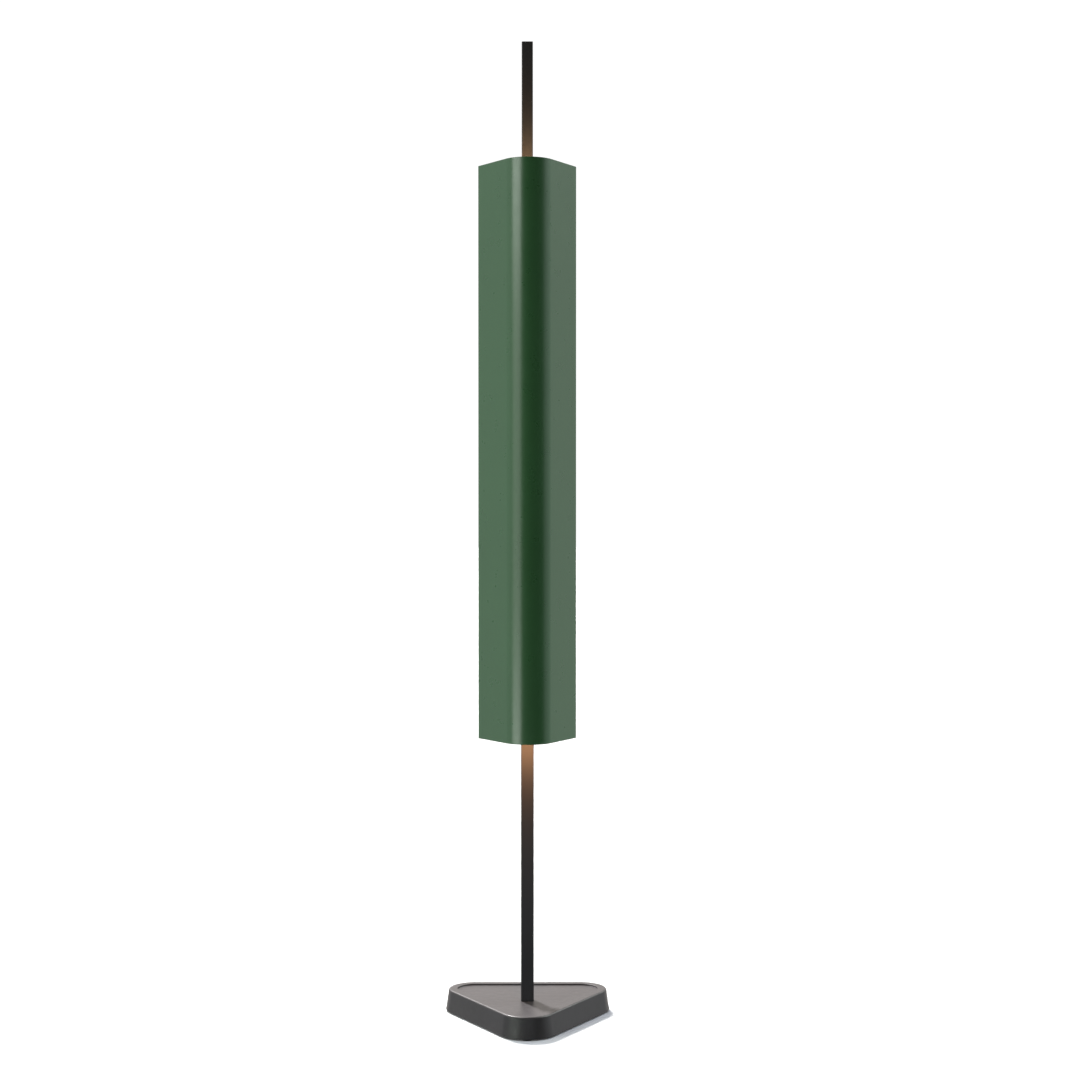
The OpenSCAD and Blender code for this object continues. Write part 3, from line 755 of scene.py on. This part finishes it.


# the coiled lead in the stem: a helix above a straight tail
LEAD_LO, LEAD_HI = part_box("coiled_lead")
COIL_FOOT = 66 * MM
COIL_LENGTH = LEAD_HI.z - COIL_FOOT
COIL_R, COIL_WIRE, COIL_TURNS = 4.9 * MM, 1.25 * MM, 58
lead_coil = coil("spiral_lead", "z", COIL_R, COIL_WIRE, (0, 0, COIL_FOOT), COIL_LENGTH, COIL_TURNS)
stand_for(lead_coil, "coiled_lead", RUBBER)
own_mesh(lead_coil)
LEAD_R, LEAD_CHAMFER = 2.5 * MM, 0.5 * MM
tail = [(LEAD_R - LEAD_CHAMFER, LEAD_LO.z), (LEAD_R, LEAD_LO.z + LEAD_CHAMFER), (LEAD_R, COIL_FOOT)]
bm = bmesh.new()
turned_z(bm, tail, 0, 0, 24)
stand_for(finish_mesh("lead_tail", bm), "coiled_lead", RUBBER)

# the button's return spring
SPRING_LO, SPRING_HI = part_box("button_spring")
SPRING_LENGTH = SPRING_HI.y - SPRING_LO.y
SPRING_R, SPRING_WIRE, SPRING_TURNS = 4.0 * MM, 0.35 * MM, 5
spring = coil("return_spring", "y", SPRING_R, SPRING_WIRE, (0, SPRING_LO.y, BUTTON_Z), SPRING_LENGTH,
              SPRING_TURNS)
stand_for(spring, "button_spring", ZINC)
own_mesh(spring)

# ---------------------------------------------------------------- machined edges of what stays

EDGE_WIDTHS = {                              # in mm
    "stem_collar": 0.9, "bottom_guide": 0.6, "dimmer_case": 0.9, "top_bracket": 0.6, "top_spider": 0.5,
    "bottom_spider": 0.5, "led_housing": 0.25, "module_screws": 0.3, "spider_screws": 0.3,
    "dimmer_screws": 0.25, "cover_screws": 0.4, "base_cover": 0.2, "guide_bush": 0.3,
    "terminal_block": 0.3, "cord_clamp": 0.5, "retaining_ring": 0.15,
}
for node_name, width in EDGE_WIDTHS.items():
    soften(node_name, width * MM)

# ---------------------------------------------------------------- floor and world


FLOOR_RINGS = (40.0, 12.0, 4.0, 1.0)


def studio_floor():
    """A very wide, even, matt white disc."""
    mat, tree, bsdf = new_material("pale_studio_floor")
    drift = noise_tex(tree, coords(tree), 0.6, 3.0)
    white = blend_colors(tree, drift, (0.86, 0.86, 0.87), (0.88, 0.88, 0.885))
    tree.links.new(white, bsdf.inputs["Base Color"])
    bsdf.inputs["Roughness"].default_value = 1.0
    bsdf.inputs["Specular IOR Level"].default_value = 0.0
    bm = bmesh.new()
    skin(bm, [at_z(circle_outline(r, 96), 0.0) for r in FLOOR_RINGS], cap_first=False)
    bmesh.ops.recalc_face_normals(bm, faces=bm.faces)
    mesh = bpy.data.meshes.new("studio_floor")
    bm.to_mesh(mesh)
    bm.free()
    mesh.materials.append(mat)
    obj = bpy.data.objects.new("studio_floor", mesh)
    scene.collection.objects.link(obj)
    obj.visible_diffuse = False              # the sweep is far brighter than a room's floor, so the lamp
    obj.visible_glossy = False               # is lit and mirrored by the studio alone
    return obj


floor = studio_floor()

# the room's light from the front (0) to the back (1): (place, level, blue over green and green over red)
SKY_STOPS = [
    (0.0, 0.008, 1.0), (0.33, 0.014, 1.0), (0.41, 0.37, 1.04),
    (0.72, 0.46, 1.04), (0.90, 0.74, 0.95), (1.0, 0.80, 0.93),
]
SKY_STRENGTH = 1.1
BACKDROP_STRENGTH = 1.05


def studio_world():
    """A room that is dark in front of the lamp and bright behind it, with a white backdrop for the camera."""
    world = bpy.data.worlds.new("studio")
    world.use_nodes = True
    tree = world.node_tree
    tree.nodes.clear()
    tex = tree.nodes.new("ShaderNodeTexCoord")
    split = tree.nodes.new("ShaderNodeSeparateXYZ")
    tree.links.new(tex.outputs["Generated"], split.inputs["Vector"])
    depth = tree.nodes.new("ShaderNodeMath")
    depth.operation = "MULTIPLY_ADD"         # -1 to 1 becomes 0 to 1
    depth.inputs[1].default_value = 0.5
    depth.inputs[2].default_value = 0.5
    tree.links.new(split.outputs["Y"], depth.inputs[0])
    ramp = tree.nodes.new("ShaderNodeValToRGB")
    tree.links.new(depth.outputs[0], ramp.inputs["Fac"])
    ramp.color_ramp.interpolation = "EASE"
    while len(ramp.color_ramp.elements) < len(SKY_STOPS):
        ramp.color_ramp.elements.new(0.5)
    for stop, (place, level, blue) in zip(ramp.color_ramp.elements, SKY_STOPS):
        stop.position = place
        stop.color = (level / blue, level, level * blue, 1)
    room = tree.nodes.new("ShaderNodeBackground")
    room.inputs["Strength"].default_value = SKY_STRENGTH
    tree.links.new(ramp.outputs["Color"], room.inputs["Color"])
    backdrop = tree.nodes.new("ShaderNodeBackground")
    backdrop.inputs["Color"].default_value = (1, 1, 1, 1)
    backdrop.inputs["Strength"].default_value = BACKDROP_STRENGTH
    path = tree.nodes.new("ShaderNodeLightPath")
    choose = tree.nodes.new("ShaderNodeMixShader")
    tree.links.new(path.outputs["Is Camera Ray"], choose.inputs["Fac"])
    tree.links.new(room.outputs[0], choose.inputs[1])
    tree.links.new(backdrop.outputs[0], choose.inputs[2])
    out = tree.nodes.new("ShaderNodeOutputWorld")
    tree.links.new(choose.outputs[0], out.inputs["Surface"])
    return world


scene.world = studio_world()

# ---------------------------------------------------------------- lights


def lamp(light, place, aim, color):
    """Sets a light at a place, turned to what it's aimed at."""
    light.color = color
    obj = bpy.data.objects.new(light.name, light)
    scene.collection.objects.link(obj)
    obj.location = place
    obj.rotation_euler = (Vector(aim) - Vector(place)).to_track_quat("-Z", "Y").to_euler()
    return obj


def softbox(name, place, aim, size, power, color=(1, 1, 1)):
    light = bpy.data.lights.new(name, "AREA")
    light.shape = "RECTANGLE"
    light.size, light.size_y = size
    light.energy = power
    return lamp(light, place, aim, color)


def sunlight(name, place, power, degrees, color):
    """A very distant lamp in a direction, as wide as these degrees of the sky."""
    light = bpy.data.lights.new(name, "SUN")
    light.energy = power
    light.angle = math.radians(degrees)
    return lamp(light, place, (0, 0, 0), color)


def bearing(deg, dist, z):
    """A place round the lamp: bearing 0 is towards the camera, positive to the right."""
    t = math.radians(deg)
    return (dist * math.sin(t), -dist * math.cos(t), z)


# the lamp's lights: a key from behind on the left, wide fills from high on both sides, a tall strip at the
# front left that draws the highlight along the nose, and two weak boxes at the left and before the base
STRIP_TINT = (0.92, 1.0, 0.92)
key = sunlight("key", (-0.485, 0.875, 1.2), 5.4, 7, (1.0, 0.96, 0.965))
fill_left = sunlight("fill_left", (-2.6, 0.9, 2.0), 0.35, 40, (0.94, 0.97, 1.0))
fill_right = sunlight("fill_right", (2.6, 0.8, 2.1), 2.25, 40, (0.92, 1.0, 0.97))
softbox("left_strip_high", bearing(-51, 2.2, 2.0), (0, 0, 1.4), (1.6, 0.75), 17.0, STRIP_TINT)
softbox("left_strip_middle", bearing(-51, 2.2, 1.0), (0, 0, 1.0), (1.6, 1.0), 6.6, STRIP_TINT)
softbox("left_strip_low", bearing(-51, 2.2, 0.15), (0, 0, 0.6), (1.6, 0.5), 10.6, STRIP_TINT)
softbox("left_side", bearing(-90, 2.4, 1.1), (0, 0, 1.0), (0.7, 2.6), 1.1)
softbox("low_front", (0, -0.9, 0.12), (0, -0.1, 0.02), (0.9, 0.2), 0.60, (0.90, 0.94, 1.0))

# the floor's own lights: they make it white and draw the base's contact shadow, bluish where one is blocked
floor_light = sunlight("floor_light", (-0.36, 0.85, 1.08), 5.0, 11, (1.0, 0.98, 0.94))
floor_fill = sunlight("floor_fill", (0, 0, 2.0), 0.8, 20, (0.78, 0.85, 1.0))


def object_group(name, objects, state):
    """A collection of these objects for light linking, each set to INCLUDE or EXCLUDE."""
    group = bpy.data.collections.new(name)
    for obj in objects:
        group.objects.link(obj)
    for link in group.collection_objects:
        link.light_linking.link_state = state
    return group


def light_only(light, objects, state):
    """Limits what a light reaches: INCLUDE lights these objects alone, EXCLUDE lights all but these."""
    light.light_linking.receiver_collection = object_group(light.name + "_reach", objects, state)


def shadow_only(light, objects):
    """Only these objects throw a shadow in the light."""
    light.light_linking.blocker_collection = object_group(light.name + "_shadow", objects, "INCLUDE")


light_only(key, (floor, shell, ports), "EXCLUDE")
light_only(fill_left, (floor,), "EXCLUDE")
light_only(fill_right, (floor,), "EXCLUDE")
light_only(floor_light, (floor,), "INCLUDE")
light_only(floor_fill, (floor,), "INCLUDE")
shadow_only(floor_light, (body,))
shadow_only(floor_fill, (body,))

# what the module throws out of the shade's two ends, on to the front of the stem
SPILL_Y = 24 * MM - NOSE_REACH
SPILL_AIM = 70 * MM                          # how far above or below itself each lamp aims
SPILL_SIZE = (30 * MM, 20 * MM)
SPILLS = [
    ("spill_top", SHADE_HI.z - 30 * MM, 1, 0.74, (1.0, 0.57, 0.23)),
    ("spill_bottom", SHADE_LO.z + 2 * MM, -1, 0.80, (1.0, 0.48, 0.19)),
]
for name, z, up, power, color in SPILLS:
    glow = softbox(name, (0, SPILL_Y, z), (0, 0, z + up * SPILL_AIM), SPILL_SIZE, power, color)
    glow.visible_camera = False
    glow.visible_glossy = False
    light_only(glow, (floor, shell, ports), "EXCLUDE")
    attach(glow, "shade")

# ---------------------------------------------------------------- camera

CAMERA_PLACE = (0.0168, -3.5217, 0.9252)
CAMERA_DIP = math.radians(1.0)
CAMERA_TURN = -0.00164
cam_data = bpy.data.cameras.new("camera")
cam_data.lens = 65.70
cam_data.sensor_width = 36
cam_data.sensor_fit = "HORIZONTAL"
cam_data.clip_start = 0.05
cam_data.clip_end = 200
camera = bpy.data.objects.new("camera", cam_data)
scene.collection.objects.link(camera)
camera.location = CAMERA_PLACE
camera.rotation_euler = (math.pi / 2 - CAMERA_DIP, 0, CAMERA_TURN)
scene.camera = camera
scene.view_settings.view_transform = "Standard"
